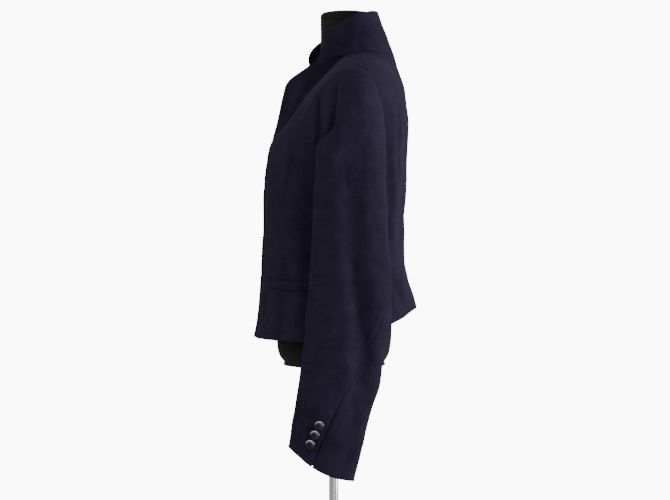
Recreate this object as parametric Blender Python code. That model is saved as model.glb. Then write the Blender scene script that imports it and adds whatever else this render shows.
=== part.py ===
"""Fitted wool jacket with a notched collar turned up, worn by a limbless dress form on a pole.

Metres in the scene, millimetres in the tables. +Z up, the jacket's front faces -Y, and the
wearer's left side is +X. The origin is the middle of the stand's underside.
"""
import math
from collections import namedtuple

import bmesh
import bpy
from mathutils import Vector

MM = 0.001

# Steps of angle and of share over which a normal is measured
TURN_STEP = 0.02
SHARE_STEP = 0.02

# Cloth
WALL = 2.2
COLLAR_WALL = 2.8
WELT_WALL = 1.6
SEAM_GAP = 0.3
LAP_LIFT = 2.8

# Rings of the bodice: half width, the middle's place along Y, and how far front and back reach
Ring = namedtuple("Ring", "z width centre front back")
BODICE = [
    Ring(990, 147, 5, 121.0, 119.0),
    Ring(1020, 144, 5, 118.5, 119.4),
    Ring(1050, 146, 6, 116.0, 118.2),
    Ring(1085, 153, 7, 115.5, 118.0),
    Ring(1125, 162, 8, 115.0, 119.0),
    Ring(1160, 168, 10, 113.0, 121.6),
    Ring(1195, 170, 13, 109.5, 122.6),
    Ring(1230, 172, 17, 102.0, 124.7),
    Ring(1260, 175, 20, 79.0, 124.6),
    Ring(1285, 180, 23, 58.0, 122.4),
    Ring(1308, 186, 27, 39.0, 119.8),
    Ring(1324, 188, 31, 26.0, 116.5),
    Ring(1334, 186, 34, 18.0, 113.5),
    Ring(1339, 175, 36, 14.0, 111.7),
    Ring(1347, 151, 39, 8.0, 109.0),
    Ring(1360, 111, 42, -1.0, 105.0),
    Ring(1374, 71, 45, -11.0, 100.7),
]

# Waist seam, hem and what the peplum gains in width and depth on its way down
WAIST_FRONT_Z = 1003.0
WAIST_SIDE_Z = 999.0
WAIST_BACK_Z = 1023.0
HEM_FRONT_Z = 905.0
HEM_BACK_Z = 956.5
HEM_POWER = 3.5
Flare = namedtuple("Flare", "down side front back")
FLARES = [
    Flare(0.0, 0, 0.0, 0.0),
    Flare(0.25, 3, 1.0, 3.0),
    Flare(0.5, 9, 3.5, 8.0),
    Flare(0.75, 18, 6.5, 14.0),
    Flare(1.0, 29, 10.0, 19.5),
]

# Bust
BUST_X = 86.0
BUST_Z = 1150.0
BUST_SPREAD_X = 42.0
BUST_SPREAD_Z = 52.0
BUST_RISE = 5.0

# Soft folds and darts of the body: places across and along, half widths, and depth inwards
Fold = namedtuple("Fold", "x_top x_bottom top bottom spread depth")
FRONT_FOLDS = [
    Fold(98, 112, 1060, 900, 15, 3.0),
    Fold(90, 104, 1236, 1130, 17, 4.0),
]
BACK_FOLDS = [
    Fold(120, 96, 1300, 1110, 18, 4.5),
    Fold(62, 50, 1240, 1040, 18, 4.0),
]

# Armhole: where its front and back edges lie at each height
Hole = namedtuple("Hole", "z front back")
ARMHOLE = [
    Hole(1334, 34, 34),
    Hole(1330, 18, 50),
    Hole(1318, 9, 62),
    Hole(1298, 6, 71),
    Hole(1275, 5, 76),
    Hole(1250, 3, 79),
    Hole(1226, 2, 79),
    Hole(1205, 5, 76),
    Hole(1190, 12, 69),
    Hole(1181, 24, 58),
    Hole(1176, 42, 42),
]
SHOULDER_Z = 1334.0
UNDERARM_Z = 1176.0
SIDE_SEAM_LOW_Z = 960.0

# Rows of the fronts and backs, from the waist seam to the neckline
Row = namedtuple("Row", "inner outer")
FRONT_ROWS = [
    Row(1028, 1028),
    Row(1060, 1060),
    Row(1095, 1095),
    Row(1130, 1130),
    Row(1160, 1158),
    Row(1180, 1176),
    Row(1193, 1181),
    Row(1206, 1190),
    Row(1219, 1205),
    Row(1232, 1226),
    Row(1252, 1250),
    Row(1272, 1275),
    Row(1290, 1298),
    Row(1305, 1318),
    Row(1315, 1330),
    Row(1324, 1334),
    Row(1335, 1344),
    Row(1346, 1354),
    Row(1357, 1364),
    Row(1366, 1374),
]
BACK_ROWS = [
    Row(1044, 1028),
    Row(1075, 1060),
    Row(1108, 1095),
    Row(1142, 1130),
    Row(1170, 1158),
    Row(1188, 1176),
    Row(1199, 1181),
    Row(1212, 1190),
    Row(1227, 1205),
    Row(1245, 1226),
    Row(1265, 1250),
    Row(1285, 1275),
    Row(1303, 1298),
    Row(1319, 1318),
    Row(1329, 1330),
    Row(1336, 1334),
    Row(1346, 1344),
    Row(1356, 1354),
    Row(1365, 1364),
    Row(1374, 1374),
]
BREAK_ROW = 10
FRONT_CELLS = 11
BACK_CELLS = 12
PEPLUM_CELLS = 11
PEPLUM_ROWS = 6

# Front edges: the overlap below, and the free edge of a lapel up to its tip
EDGE_LAP = 10.0
EDGE_OPEN = 1.6
LAP_TOP_Z = 1190.0
BREAK_Z = 1232.0
ROLL_X = 15.0
LAPEL_CELLS = 5
NOTCH_CELL = 3
Edge = namedtuple("Edge", "up x y z")
LAPEL_EDGE = [
    Edge(0.0, 1.6, -103.0, 1232),
    Edge(0.2, 4.0, -97.5, 1252),
    Edge(0.45, 10.0, -90.0, 1280),
    Edge(0.7, 17.0, -83.5, 1307),
    Edge(0.9, 23.0, -79.0, 1324),
    Edge(1.0, 27.0, -71.0, 1334),
]
ROLL_TOP_X = 64.0
NOTCH = {"left": (57.0, -29.0, 1359.5), "right": (56.0, -41.0, 1361.0)}

# Collar, from the front end round to the middle of the back: seam, fold line and top edge
Station = namedtuple("Station", "round_ fold_out fold_y fold_up top_x top_y top_z")
COLLAR_STATIONS = [
    Station(0.0, 0.4, 0.0, 2.0, 60.0, -12.5, 1406.0),
    Station(0.12, 0.6, 0.0, 2.0, 65.0, 0.0, 1415.0),
    Station(0.26, 1.0, 0.0, 3.5, 69.0, 15.0, 1425.0),
    Station(0.40, 1.5, -1.0, 8.0, 71.0, 32.0, 1434.0),
    Station(0.55, 1.5, -3.0, 14.0, 67.0, 48.0, 1438.0),
    Station(0.78, 0.5, -6.5, 22.5, 42.0, 66.0, 1444.0),
    Station(1.0, 0.0, -10.0, 27.5, 0.0, 74.0, 1447.5),
]
COLLAR_LIFT = 0.4
COLLAR_END_BOW = {"left": 4.0, "right": -7.0}
COLLAR_SOFTEN = 5
COLLAR_BOW_END = 0.12
COLLAR_RIGHT_SPREAD = 0.3
COLLAR_SHARES = (0.33, 0.66, 1.0)
COLLAR_RIGHT_END = (-2.0, -15.0, -6.0)

# Sleeve tube: front and back edges, middle and half thickness across, trough and its depth
Tube = namedtuple("Tube", "z front back middle half trough trough_depth")
SLEEVE = [
    Tube(1227, 24.0, 75.0, 196, 26, 16, 2.0),
    Tube(1165, 29.5, 80.5, 199, 26, 22, 6.0),
    Tube(1128, 31.3, 82.3, 199, 25, 26, 7.5),
    Tube(1058, 34.7, 86.2, 199, 25, 33, 9.0),
    Tube(988, 39.0, 90.1, 202, 24, 41, 10.0),
    Tube(944, 43.2, 89.3, 206, 23, 44, 10.0),
    Tube(913, 46.3, 81.6, 207, 23, 45, 9.5),
    Tube(879, 49.1, 76.9, 206, 22, 44, 9.0),
    Tube(834, 56.2, 71.4, 205, 20, 38, 6.0),
    Tube(793, 62.7, 56.7, 204, 19, 33, 4.0),
    Tube(753, 69.3, 47.3, 203, 18, 30, 2.5),
    Tube(720, 75.0, 39.5, 202, 17, 28, 1.0),
    Tube(686, 80.0, 32.5, 201, 16, 26, 0.0),
]
TROUGH_SPREAD = 13.0
INNER_TROUGH = 0.45

# Rows round the sleeve: heights at its front and back edges, how much the front bulge lifts a row,
# and the two seams in degrees
Cuff = namedtuple("Cuff", "front_z back_z sag lift back_seam front_seam")
SLEEVE_ROWS = [
    Cuff(1165, 1165, 0, 52, -90, 115),
    Cuff(1128, 1128, 0, 30, -90, 116),
    Cuff(1088, 1088, 0, 12, -90, 117),
    Cuff(1048, 1048, 0, 0, -88, 119),
    Cuff(1008, 1008, 0, 0, -77, 122),
    Cuff(970, 970, 0, 0, -62, 128),
    Cuff(936, 937, 0, 0, -49, 136),
    Cuff(902, 906, 0, 0, -37, 144),
    Cuff(868, 873, 0, 0, -25, 152),
    Cuff(834, 838, 1, 0, -13, 162),
    Cuff(805, 798, 3, 0, -4, 170),
    Cuff(777, 755, 6, 0, 5, 178),
    Cuff(759, 719, 9, 0, 11, 183),
    Cuff(743.5, 690, 11.5, 0, 15, 187),
]
LIFT_TURN = 80.0
LIFT_POWER = 6
SLEEVE_PULL = 0.25
VENT_ROW = 9
VENT_OPEN = 1.5
CAP_STEPS = [0.0, 0.1, 0.22, 0.36, 0.52, 0.68, 0.84]
CAP_OUT = 62.0
CAP_OUT_INSIDE = 0.35
CAP_BACK = 12.0
CAP_DROP = 26.0
CAP_LAG = 1.6

# Cuff buttons
BUTTON_COUNT = 3
BUTTON_FIRST_Y = -22.0
BUTTON_FIRST_Z = 778.0
BUTTON_STEP_Y = -7.1
BUTTON_STEP_Z = -14.7
BUTTON_SIDES = 16
BUTTON_SEAT = 0.5
ButtonRing = namedtuple("ButtonRing", "radius height")
BUTTON_PROFILE = [
    ButtonRing(0.0, 3.4),
    ButtonRing(4.6, 2.9),
    ButtonRing(5.6, 3.6),
    ButtonRing(7.1, 3.2),
    ButtonRing(7.7, 1.8),
    ButtonRing(6.4, 0.4),
    ButtonRing(3.0, 0.0),
    ButtonRing(0.0, 0.0),
]

# Pocket welts, laid on the peplum fronts
WELT_X_FRONT = 74.0
WELT_X_BACK = 139.0
WELT_TOP = 0.03
WELT_BOTTOM = 0.15
WELT_CELLS = 7

# Dress form
FORM = [
    Ring(858, 112, 2, 68.0, 70.0),
    Ring(862, 124, 2, 80.0, 82.0),
    Ring(874, 136, 2, 90.5, 91.0),
    Ring(896, 145, 2, 94.7, 95.5),
    Ring(930, 148, 2, 93.0, 96.5),
    Ring(965, 141, 2, 86.0, 90.0),
    Ring(1005, 124, 2, 78.0, 74.0),
    Ring(1030, 123, 3, 80.0, 73.0),
    Ring(1070, 133, 4, 90.0, 82.0),
    Ring(1115, 144, 5, 99.0, 94.0),
    Ring(1155, 151, 7, 102.0, 104.0),
    Ring(1195, 154, 10, 97.0, 109.0),
    Ring(1235, 157, 15, 80.0, 111.0),
    Ring(1270, 161, 20, 55.0, 110.0),
    Ring(1300, 167, 25, 33.0, 107.0),
    Ring(1315, 172, 29, 21.0, 104.5),
]
FORM_SEAT = 0.75
FORM_INSET_FRONT = 16.0
FORM_INSET_BACK = 6.5
FORM_SHOULDER_ROWS = [1328, 1334, 1339, 1343, 1347, 1353]
FORM_SIDES = 32
NECK_WIDTH = 50.0
NECK_CENTRE = 20.5
NECK_DEPTH = 42.5
NeckRing = namedtuple("NeckRing", "z rise width front back")
NECK_RINGS = [
    NeckRing(1353, 11, 58, 22, 84),
    NeckRing(1369, 6, 53, 22, 74),
    NeckRing(1393, 0, 51, 22, 66),
    NeckRing(1410, 0, 50, 22, 63),
    NeckRing(1428, 0, 50, 22, 63),
]
NECK_NEAR = 0.9
NECK_FAR = 1.5
NECK_START_Z = 1270.0
CAP_BOTTOM_Z = 1428.3
CAP_TOP_Z = 1444.5
CAP_BEVEL = 3.0

# Stand
POLE_RADIUS = 8.0
POLE_SIDES = 20
FLANGE_RADIUS = 34.0
FLANGE_THICK = 7.0
BASE_RADIUS = 165.0
BASE_THICK = 14.0
BASE_SIDES = 48


def read(table, column, key, value):
    """Value of a table's column at a given key, by a smooth curve that never overshoots its rows."""
    rows = table if getattr(table[0], key) < getattr(table[-1], key) else table[::-1]
    keys = [getattr(row, key) for row in rows]
    values = [getattr(row, column) for row in rows]
    value = min(max(value, keys[0]), keys[-1])
    last = len(keys) - 1
    index = next((i for i in range(last) if value <= keys[i + 1]), last - 1)

    def secant(i):
        return (values[i + 1] - values[i]) / (keys[i + 1] - keys[i])

    def slope(i):
        if i == 0:
            return secant(0)
        if i == last:
            return secant(last - 1)
        before, after = secant(i - 1), secant(i)
        if before * after <= 0:
            return 0.0
        return 2 * before * after / (before + after)

    span = keys[index + 1] - keys[index]
    t = (value - keys[index]) / span
    start, end = values[index], values[index + 1]
    return ((2 * t ** 3 - 3 * t ** 2 + 1) * start + (t ** 3 - 2 * t ** 2 + t) * span * slope(index)
            + (3 * t ** 2 - 2 * t ** 3) * end + (t ** 3 - t ** 2) * span * slope(index + 1))


def smooth(low, high, value):
    """0 below low, 1 above high, and an S curve between."""
    t = min(max((value - low) / (high - low), 0.0), 1.0)
    return t * t * (3 - 2 * t)


def bell(distance, spread):
    return math.exp(-(distance / spread) ** 2)


def fold_in(folds, x, z):
    """How far the soft folds of a list draw the cloth in at a place."""
    total = 0.0
    for fold in folds:
        along = (fold.top - z) / (fold.top - fold.bottom)
        fade = smooth(-0.15, 0.2, along) * (1 - smooth(0.8, 1.15, along))
        centre = fold.x_top + (fold.x_bottom - fold.x_top) * along
        total += fold.depth * fade * bell(x - centre, fold.spread)
    return total


def body_point(angle, z, plain=False):
    """Outer face of the bodice, plain or with its folds.

    The angle is -90 degrees at the front, 0 at the side and 90 behind.
    """
    width = read(BODICE, "width", "z", z)
    centre = read(BODICE, "centre", "z", z)
    front = read(BODICE, "front", "z", z)
    back = read(BODICE, "back", "z", z)
    depth = centre + front if angle < 0 else back - centre
    x = width * math.cos(angle)
    y = centre + depth * math.sin(angle)
    if plain:
        return Vector((x, y, z))
    inward = Vector((-math.cos(angle), -math.sin(angle), 0.0))
    if angle < 0:
        bust = BUST_RISE * bell(x - BUST_X, BUST_SPREAD_X) * bell(z - BUST_Z, BUST_SPREAD_Z)
        pull = fold_in(FRONT_FOLDS, x, z) - bust
    else:
        pull = fold_in(BACK_FOLDS, x, z)
    return Vector((x, y, z)) + inward * pull


def body_normal(angle, z, plain=False):
    across = body_point(angle + TURN_STEP, z, plain) - body_point(angle - TURN_STEP, z, plain)
    up = body_point(angle, min(z + 1, BODICE[-1].z), plain) - body_point(angle, z - 1, plain)
    return across.cross(up).normalized()


def waist_normal(angle):
    """Level normal at the waist seam, shared by the pieces above and below it."""
    normal = body_normal(angle, waist_z(angle))
    normal.z = 0.0
    return normal.normalized()


def angle_at_x(x, z):
    """Angle on the front half where the bodice has a given X."""
    width = read(BODICE, "width", "z", z)
    return -math.acos(min(max(x / width, -1.0), 1.0))


def angle_at_y(y, z):
    centre = read(BODICE, "centre", "z", z)
    front = read(BODICE, "front", "z", z)
    back = read(BODICE, "back", "z", z)
    depth = centre + front if y < centre else back - centre
    return math.asin(min(max((y - centre) / depth, -1.0), 1.0))


def waist_z(angle):
    """Height of the waist seam, which dips a little at the sides and rises behind."""
    turn = math.sin(angle)
    if turn < 0:
        return WAIST_SIDE_Z + (WAIST_FRONT_Z - WAIST_SIDE_Z) * smooth(0.2, 1.0, -turn)
    return WAIST_SIDE_Z + (WAIST_BACK_Z - WAIST_SIDE_Z) * smooth(0.0, 1.1, turn) / smooth(0.0, 1.1, 1.0)


def hem_z(angle):
    lift = ((1 + math.sin(angle)) / 2) ** HEM_POWER
    return HEM_FRONT_Z + (HEM_BACK_Z - HEM_FRONT_Z) * lift


def peplum_point(angle, down):
    """Outer face of the peplum, from the waist seam at 0 to the hem at 1."""
    seam = waist_z(angle)
    top = body_point(angle, seam)
    depth_gain = read(FLARES, "front" if angle < 0 else "back", "down", down)
    x = top.x + read(FLARES, "side", "down", down) * math.cos(angle)
    y = top.y + depth_gain * math.sin(angle)
    return Vector((x, y, seam + (hem_z(angle) - seam) * down))


def peplum_normal(angle, down):
    across = peplum_point(angle + TURN_STEP, down) - peplum_point(angle - TURN_STEP, down)
    low, high = min(down + SHARE_STEP, 1.0), max(down - SHARE_STEP, 0.0)
    up = peplum_point(angle, high) - peplum_point(angle, low)
    return across.cross(up).normalized()


def side_angle(z):
    """Outer end of a front row: side seam, then armhole, then shoulder seam."""
    if z >= SHOULDER_Z:
        return 0.0
    if z <= UNDERARM_Z:
        return angle_at_y(ARMHOLE[-1].front * smooth(SIDE_SEAM_LOW_Z, UNDERARM_Z, z), z)
    return angle_at_y(read(ARMHOLE, "front", "z", z), z)


def back_side_angle(z):
    if UNDERARM_Z < z < SHOULDER_Z:
        return angle_at_y(read(ARMHOLE, "back", "z", z), z)
    return side_angle(z)


def mirrored(points):
    return [[Vector((-p.x, p.y, p.z)) for p in row] for row in points]


def pull_edges(rows, low=True, high=True, amount=SEAM_GAP / 2):
    """Draws the first and last column in along each row, for the gap at a seam."""
    for row in rows:
        if low:
            row[0] += (row[1] - row[0]).normalized() * amount
        if high:
            row[-1] += (row[-2] - row[-1]).normalized() * amount


def material(name, color, roughness, metallic=0.0):
    found = bpy.data.materials.new(name)
    found.use_nodes = True
    shader = found.node_tree.nodes["Principled BSDF"]
    shader.inputs["Base Color"].default_value = (*color, 1.0)
    shader.inputs["Roughness"].default_value = roughness
    shader.inputs["Metallic"].default_value = metallic
    return found


def add_object(name, bm, finish, smooth_angle=40):
    mesh = bpy.data.meshes.new(name)
    bm.to_mesh(mesh)
    bm.free()
    mesh.materials.append(finish)
    mesh.shade_smooth()
    mesh.set_sharp_from_angle(angle=math.radians(smooth_angle))
    piece = bpy.data.objects.new(name, mesh)
    bpy.context.scene.collection.objects.link(piece)
    return piece


def add_wall(name, outer, inner, finish, flip=False):
    """A closed wall between two grids of points that run across and up the cloth."""
    bm = bmesh.new()
    skins = [[[bm.verts.new(p * MM) for p in row] for row in grid] for grid in (outer, inner)]
    rows, columns = len(outer), len(outer[0])

    def face(*corners):
        bm.faces.new(corners[::-1] if flip else corners)

    for r in range(rows - 1):
        for c in range(columns - 1):
            rising = (outer[r][c] - outer[r + 1][c + 1]).length
            falling = (outer[r][c + 1] - outer[r + 1][c]).length
            for skin, sign in ((skins[0], 1), (skins[1], -1)):
                a, b = skin[r][c], skin[r][c + 1]
                d, e = skin[r + 1][c], skin[r + 1][c + 1]
                halves = ((a, b, e), (a, e, d)) if rising < falling else ((a, b, d), (b, e, d))
                for half in halves:
                    face(*half[::sign])
    rim = ([(0, c) for c in range(columns)] + [(r, columns - 1) for r in range(1, rows)]
           + [(rows - 1, c) for c in range(columns - 2, -1, -1)] + [(r, 0) for r in range(rows - 2, 0, -1)])
    for here, there in zip(rim, rim[1:] + rim[:1]):
        a, b = skins[0][here[0]][here[1]], skins[0][there[0]][there[1]]
        c, d = skins[1][there[0]][there[1]], skins[1][here[0]][here[1]]
        if here < there:
            face(a, d, c)
            face(a, c, b)
        else:
            face(a, d, b)
            face(d, c, b)
    return add_object(name, bm, finish)


def grid_normals(rows):
    """Normals of a grid by the differences between its neighbours."""
    found = []
    for r, row in enumerate(rows):
        line = []
        for c in range(len(row)):
            across = row[min(c + 1, len(row) - 1)] - row[max(c - 1, 0)]
            up = rows[min(r + 1, len(rows) - 1)][c] - rows[max(r - 1, 0)][c]
            line.append(across.cross(up).normalized())
        found.append(line)
    return found


def offset(rows, normals, distance):
    return [[p + n * distance for p, n in zip(row, line)] for row, line in zip(rows, normals)]


def lap_lift(x):
    """The upper front stands off the lower one where they overlap. X grows towards its own side."""
    return LAP_LIFT * (1 - smooth(EDGE_LAP + 2, EDGE_LAP + 22, x))


def edge_x(z):
    return -EDGE_LAP + (EDGE_LAP + EDGE_OPEN) * smooth(LAP_TOP_Z, BREAK_Z, z)


def front_rows(side):
    """Outer points and normals of a front with its lapel, for the wearer's left side."""
    notch = Vector(NOTCH[side])
    over = side == "right"
    points, normals = [], []
    rows = [None] + FRONT_ROWS
    for index, row in enumerate(rows):
        line, line_normals = [], []
        inner_z = WAIST_FRONT_Z if row is None else row.inner
        outer_z = WAIST_SIDE_Z if row is None else row.outer
        along = max(index - BREAK_ROW, 0) / (len(rows) - 1 - BREAK_ROW)
        roll_x = ROLL_X + (ROLL_TOP_X - ROLL_X) * (inner_z - BREAK_Z) / (FRONT_ROWS[-1].inner - BREAK_Z)
        start = angle_at_x(max(roll_x, ROLL_X), inner_z)
        end = side_angle(outer_z)
        for cell in range(FRONT_CELLS + 1):
            q = cell / FRONT_CELLS
            angle = start + (end - start) * q
            z = inner_z + (outer_z - inner_z) * smooth(0.0, 1.0, q)
            if row is None:
                z = waist_z(angle) + SEAM_GAP
            line.append(body_point(angle, z))
            line_normals.append(waist_normal(angle) if row is None else body_normal(angle, z))
        lapel, lapel_normals = [], []
        for cell in range(LAPEL_CELLS):
            q = cell / LAPEL_CELLS
            if index <= BREAK_ROW:
                x = edge_x(inner_z) + (ROLL_X - edge_x(inner_z)) * q
                angle = angle_at_x(x, inner_z)
                lapel.append(body_point(angle, inner_z + (SEAM_GAP if row is None else 0.0)))
                lapel_normals.append(waist_normal(angle) if row is None else body_normal(angle, inner_z))
            else:
                lapel.append(lapel_point(q, along, line[0], notch))
                lapel_normals.append(None)
        points.append(lapel + line)
        normals.append(lapel_normals + line_normals)
    flat = grid_normals(points)
    for index in range(BREAK_ROW + 1, len(rows)):
        for cell in range(LAPEL_CELLS):
            normals[index][cell] = flat[index][cell]
        crease = normals[index][LAPEL_CELLS] + normals[index][LAPEL_CELLS - 1]
        normals[index][LAPEL_CELLS] = crease.normalized()
    for cell in range(LAPEL_CELLS + 1):
        normals[-1][cell].z = 0.0
        normals[-1][cell].normalize()
    if over:
        for index in range(len(rows)):
            fade = 1 - smooth(BREAK_ROW - 1, BREAK_ROW + 2, index)
            for cell in range(len(points[index])):
                lift = lap_lift(points[index][cell].x) * fade
                points[index][cell] += normals[index][cell] * lift
    return points, normals


def lapel_point(q, up, roll, notch):
    """A lapel's patch between its free edge at 0 and the roll line at 1."""
    top_roll = body_point(angle_at_x(ROLL_TOP_X, FRONT_ROWS[-1].inner), FRONT_ROWS[-1].inner)
    tip = Vector((LAPEL_EDGE[-1].x, LAPEL_EDGE[-1].y, LAPEL_EDGE[-1].z))
    share = NOTCH_CELL / LAPEL_CELLS

    def top(t):
        if t < share:
            return tip.lerp(notch, t / share)
        return notch.lerp(top_roll, (t - share) / (1 - share))

    def bottom(t):
        x = EDGE_OPEN + (ROLL_X - EDGE_OPEN) * t
        return body_point(angle_at_x(x, BREAK_Z), BREAK_Z)

    edge = Vector([read(LAPEL_EDGE, axis, "up", up) for axis in ("x", "y", "z")])
    ruled = edge.lerp(roll, q)
    raised = bottom(q).lerp(top(q), up)
    corners = bottom(0).lerp(bottom(1), q).lerp(tip.lerp(top_roll, q), up)
    return ruled + raised - corners


def make_fronts(cloth):
    for side in ("left", "right"):
        outer, normals = front_rows(side)
        inner = offset(outer, normals, -WALL)
        pull_edges(outer, low=False)
        pull_edges(inner, low=False)
        if side == "right":
            outer, inner = mirrored(outer), mirrored(inner)
        add_wall("front_" + side, outer, inner, cloth, flip=side == "right")


def back_rows():
    """Outer points and normals of the wearer's left back, from the side to the centre seam."""
    points, normals = [], []
    for row in [None] + BACK_ROWS:
        inner_z = WAIST_BACK_Z if row is None else row.inner
        outer_z = WAIST_SIDE_Z if row is None else row.outer
        start = back_side_angle(outer_z)
        line, line_normals = [], []
        for cell in range(BACK_CELLS + 1):
            q = cell / BACK_CELLS
            angle = start + (math.pi / 2 - start) * q
            z = outer_z + (inner_z - outer_z) * smooth(0.0, 1.0, q)
            if row is None:
                z = waist_z(angle) + SEAM_GAP
            line.append(body_point(angle, z))
            line_normals.append(waist_normal(angle) if row is None else body_normal(angle, z))
        line_normals[-1].x = 0.0
        points.append(line)
        normals.append(line_normals)
    return points, normals


def make_backs(cloth):
    for side in ("left", "right"):
        outer, normals = back_rows()
        inner = offset(outer, normals, -WALL)
        pull_edges(outer)
        pull_edges(inner)
        if side == "right":
            outer, inner = mirrored(outer), mirrored(inner)
        add_wall("back_" + side, outer, inner, cloth, flip=side == "right")


def peplum_rows(start, end):
    """Outer points and normals of a stretch of the peplum, hem first, between two angles."""
    points, normals = [], []
    for index in range(PEPLUM_ROWS + 1):
        down = 1 - index / PEPLUM_ROWS
        line, line_normals = [], []
        for cell in range(PEPLUM_CELLS + 1):
            q = cell / PEPLUM_CELLS
            angle = start + (end - start) * q
            line.append(peplum_point(angle, down))
            line_normals.append(waist_normal(angle) if down <= 0 else peplum_normal(angle, down))
        points.append(line)
        normals.append(line_normals)
    return points, normals


def make_peplum(cloth):
    side_seam = side_angle(WAIST_SIDE_Z)
    front_edge = angle_at_x(-EDGE_LAP, WAIST_FRONT_Z)
    for side in ("left", "right"):
        for name, start, end in (("front", front_edge, side_seam), ("back", side_seam, math.pi / 2)):
            outer, normals = peplum_rows(start, end)
            if name == "front" and side == "right":
                for row, line in zip(outer, normals):
                    for point, normal in zip(row, line):
                        point += normal * lap_lift(point.x)
            inner = offset(outer, normals, -WALL)
            pull_edges(outer, low=name == "back")
            pull_edges(inner, low=name == "back")
            if side == "right":
                outer, inner = mirrored(outer), mirrored(inner)
            add_wall("peplum_" + name + "_" + side, outer, inner, cloth, flip=side == "right")


def make_welts(cloth):
    """Narrow welts that lie on the peplum fronts, a seam gap off their face."""
    start = angle_at_x(WELT_X_FRONT, WAIST_FRONT_Z)
    end = angle_at_x(WELT_X_BACK, WAIST_FRONT_Z)
    for side in ("left", "right"):
        outer, inner = [], []
        for down in (WELT_BOTTOM, (WELT_BOTTOM + WELT_TOP) / 2, WELT_TOP):
            line = []
            for cell in range(WELT_CELLS + 1):
                angle = start + (end - start) * cell / WELT_CELLS
                line.append((peplum_point(angle, down), peplum_normal(angle, down)))
            inner.append([p + n * SEAM_GAP * 2 for p, n in line])
            outer.append([p + n * (SEAM_GAP * 2 + WELT_WALL) for p, n in line])
        if side == "right":
            outer, inner = mirrored(outer), mirrored(inner)
        add_wall("pocket_welt_" + side, outer, inner, cloth, flip=side == "right")


def collar_seam(side):
    """Points of the collar seam from the notch past the roll line to the middle of the back."""
    fronts, _ = front_rows(side)
    backs, _ = back_rows()
    gorge = fronts[-1][NOTCH_CELL:]
    line = [p.copy() for p in gorge] + [p.copy() for p in backs[-1][1:]]
    line[-1].x = 0.0
    return line


def softened(line):
    """The same line with its corners rounded off and its ends kept."""
    for _ in range(COLLAR_SOFTEN):
        middle = [(a + 2 * b + c) / 4 for a, b, c in zip(line, line[1:], line[2:])]
        line = [line[0]] + middle + [line[-1]]
    return line


def make_collar(cloth):
    """One band right round: a seam row, the fold line between stand and fall, and the top edge."""
    halves = {}
    for side in ("left", "right"):
        seam = collar_seam(side)
        lengths = [0.0]
        for a, b in zip(seam, seam[1:]):
            lengths.append(lengths[-1] + (b - a).length)
        columns = []
        for point, soft, length in zip(seam, softened(seam), lengths):
            around = length / lengths[-1]
            base = point + Vector((0, 0, COLLAR_LIFT))
            away = Vector((point.x, 0, 0)).normalized() if point.x > 1 else Vector((0, 0, 0))
            fold = soft + away * read(COLLAR_STATIONS, "fold_out", "round_", around)
            fold += Vector((0, read(COLLAR_STATIONS, "fold_y", "round_", around),
                            read(COLLAR_STATIONS, "fold_up", "round_", around)))
            top = Vector([read(COLLAR_STATIONS, "top_" + axis, "round_", around) for axis in "xyz"])
            if side == "right":
                top += Vector(COLLAR_RIGHT_END) * (1 - smooth(0.0, COLLAR_RIGHT_SPREAD, around))
            bow = COLLAR_END_BOW[side] * (1 - smooth(0.0, COLLAR_BOW_END, around))
            column = [base, fold]
            for share in COLLAR_SHARES:
                lean = Vector((0.0, bow * math.sin(math.pi * share), 0.0))
                column.append(fold.lerp(top, share) + lean)
            columns.append(column)
        halves[side] = columns
    right = [[Vector((-p.x, p.y, p.z)) for p in column] for column in halves["right"]]
    columns = right[:-1] + halves["left"][::-1]
    outer = [[column[r] for column in columns] for r in range(len(columns[0]))]
    normals = grid_normals(outer)
    for row in normals:
        for n in row:
            n.negate()
    inner = offset(outer, normals, -COLLAR_WALL)
    for column in range(len(columns)):
        inner[0][column].z = outer[0][column].z
    add_wall("collar", outer, inner, cloth, flip=True)


def sleeve_ring(turn, z):
    """Point of the sleeve tube at a height. The turn is 0 outwards and 90 degrees at the front."""
    front = -read(SLEEVE, "front", "z", z)
    back = read(SLEEVE, "back", "z", z)
    half = read(SLEEVE, "half", "z", z)
    middle = (front + back) / 2
    reach = (back - front) / 2
    y = middle - reach * math.sin(turn)
    x = read(SLEEVE, "middle", "z", z) + half * math.cos(turn)
    dip = read(SLEEVE, "trough_depth", "z", z) * bell(y - read(SLEEVE, "trough", "z", z), TROUGH_SPREAD)
    if math.cos(turn) > 0:
        x -= dip * math.cos(turn) ** 0.5
    else:
        x += dip * INNER_TROUGH * abs(math.cos(turn)) ** 0.5
    return Vector((x, y, z))


def sleeve_row_point(turn, row):
    share = (1 - math.sin(turn)) / 2
    lift = row.lift * max(math.cos(turn - math.radians(LIFT_TURN)), 0.0) ** LIFT_POWER
    z = row.front_z + (row.back_z - row.front_z) * share - row.sag * math.sin(math.pi * share)
    return sleeve_ring(turn, z + lift)


def armhole_points(piece):
    """Places on the armhole, as pairs of an angle on the bodice and a height, in seam order."""
    front = [(angle_at_y(hole.front, hole.z), hole.z) for hole in ARMHOLE]
    back = [(angle_at_y(hole.back, hole.z), hole.z) for hole in ARMHOLE]
    front[0] = back[0] = (0.0, SHOULDER_Z)
    if piece == "upper":
        return back[5:0:-1] + front[:8]
    return front[7:] + back[-2:4:-1]


def sleeve_columns(piece, row):
    """Turns of the columns of a sleeve piece in a row, from seam to seam, in radians."""
    count = len(armhole_points(piece)) - 1
    start, end = row.back_seam, row.front_seam
    if piece == "under":
        start, end = row.front_seam, row.back_seam + 360
    return [math.radians(start + (end - start) * i / count) for i in range(count + 1)]


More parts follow.
